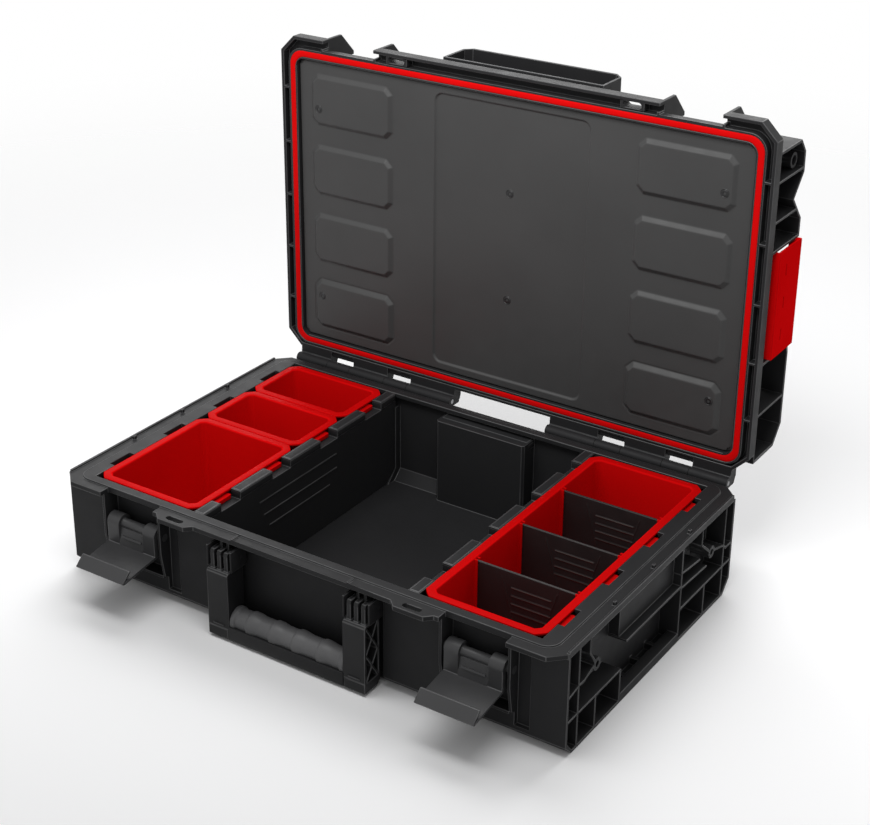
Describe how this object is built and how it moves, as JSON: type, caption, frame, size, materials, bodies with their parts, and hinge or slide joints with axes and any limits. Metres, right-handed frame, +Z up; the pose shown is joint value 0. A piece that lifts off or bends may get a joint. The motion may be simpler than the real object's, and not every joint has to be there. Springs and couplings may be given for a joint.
{
  "type": "hard tool case",
  "caption": "Hard rectangular tool case with a hinged lid, front lever latches, a swinging carry handle, side clips and lift-out bins and partitions.",
  "frame": {"origin": "centre of the flat underside of the base, at the middle of its width and depth", "axes": "+X to the right, along the hinge; +Y from front to back; +Z up; the lid stands open at 90 degrees as pictured"},
  "size_m": [0.584, 0.492, 0.4825],
  "materials": {
    "charcoal_plastic": "fine moulded grain",
    "panel_plastic": "satin, very fine grain",
    "lever_plastic": "satin",
    "grip_rubber": "soft, satin",
    "divider_plastic": "satin",
    "red_seal": "soft, satin",
    "red_clip_plastic": "satin",
    "red_bin_plastic": "semi-gloss",
    "steel": "blackened or plain steel"
  },
  "bodies": {
    "base": {"base_shell": "charcoal_plastic", "hinge_pin_left": "steel", "hinge_pin_right": "steel", "latch_pin_left": "lever_plastic", "latch_pin_right": "lever_plastic", "handle_pin_left": "steel", "handle_pin_right": "steel"},
    "lid": {"lid_shell": "charcoal_plastic", "lid_inner_panel": "panel_plastic", "lid_seal": "red_seal", "lid_panel_screws": "steel", "clip_pin_left": "steel", "clip_pin_right": "steel"},
    "latch_left": {"latch_lever_left": "lever_plastic"},
    "latch_right": {"latch_lever_right": "lever_plastic"},
    "handle": {"handle_frame": "lever_plastic", "handle_grip": "grip_rubber"},
    "clip_left": {"side_clip_left": "red_clip_plastic"},
    "clip_right": {"side_clip_right": "red_clip_plastic"},
    "partition_left": {"partition_left": "charcoal_plastic"},
    "partition_right": {"partition_right": "charcoal_plastic"},
    "bin_large": {"bin_large": "red_bin_plastic"},
    "bin_middle": {"bin_middle": "red_bin_plastic"},
    "bin_rear": {"bin_rear": "red_bin_plastic"},
    "bin_long": {"bin_long": "red_bin_plastic"},
    "divider_front": {"divider_front": "divider_plastic"},
    "divider_middle": {"divider_middle": "divider_plastic"},
    "divider_rear": {"divider_rear": "divider_plastic"}
  },
  "joints": [
    {"name": "lid_hinge", "type": "hinge", "parent": "base", "child": "lid", "pos_m": [0, 0.189, 0.106], "axis": [-1, 0, 0], "range_deg": [-90, 0]},
    {"name": "latch_left_turn", "type": "hinge", "parent": "base", "child": "latch_left", "pos_m": [-0.199, -0.167, 0.074], "axis": [1, 0, 0], "range_deg": [-105, 0]},
    {"name": "latch_right_turn", "type": "hinge", "parent": "base", "child": "latch_right", "pos_m": [0.199, -0.167, 0.074], "axis": [1, 0, 0], "range_deg": [-105, 0]},
    {"name": "handle_swing", "type": "hinge", "parent": "base", "child": "handle", "pos_m": [0, -0.1695, 0.087], "axis": [-1, 0, 0], "range_deg": [0, 95]},
    {"name": "clip_left_lift", "type": "hinge", "parent": "lid", "child": "clip_left", "pos_m": [-0.285, 0.2634, 0.2948], "axis": [0, 0, -1], "range_deg": [0, 180]},
    {"name": "clip_right_lift", "type": "hinge", "parent": "lid", "child": "clip_right", "pos_m": [0.285, 0.2634, 0.2948], "axis": [0, 0, 1], "range_deg": [0, 180]},
    {"name": "partition_left_lift", "type": "slide", "parent": "base", "child": "partition_left", "axis": [0, 0, 1], "range_m": [0, 0.105]},
    {"name": "partition_right_lift", "type": "slide", "parent": "base", "child": "partition_right", "axis": [0, 0, 1], "range_m": [0, 0.105]},
    {"name": "bin_large_lift", "type": "slide", "parent": "partition_left", "child": "bin_large", "axis": [0, 0, 1], "range_m": [0, 0.105]},
    {"name": "bin_middle_lift", "type": "slide", "parent": "partition_left", "child": "bin_middle", "axis": [0, 0, 1], "range_m": [0, 0.105]},
    {"name": "bin_rear_lift", "type": "slide", "parent": "partition_left", "child": "bin_rear", "axis": [0, 0, 1], "range_m": [0, 0.105]},
    {"name": "bin_long_lift", "type": "slide", "parent": "partition_right", "child": "bin_long", "axis": [0, 0, 1], "range_m": [0, 0.105]},
    {"name": "divider_front_lift", "type": "slide", "parent": "bin_long", "child": "divider_front", "axis": [0, 0, 1], "range_m": [0, 0.1]},
    {"name": "divider_middle_lift", "type": "slide", "parent": "bin_long", "child": "divider_middle", "axis": [0, 0, 1], "range_m": [0, 0.1]},
    {"name": "divider_rear_lift", "type": "slide", "parent": "bin_long", "child": "divider_rear", "axis": [0, 0, 1], "range_m": [0, 0.1]}
  ]
}
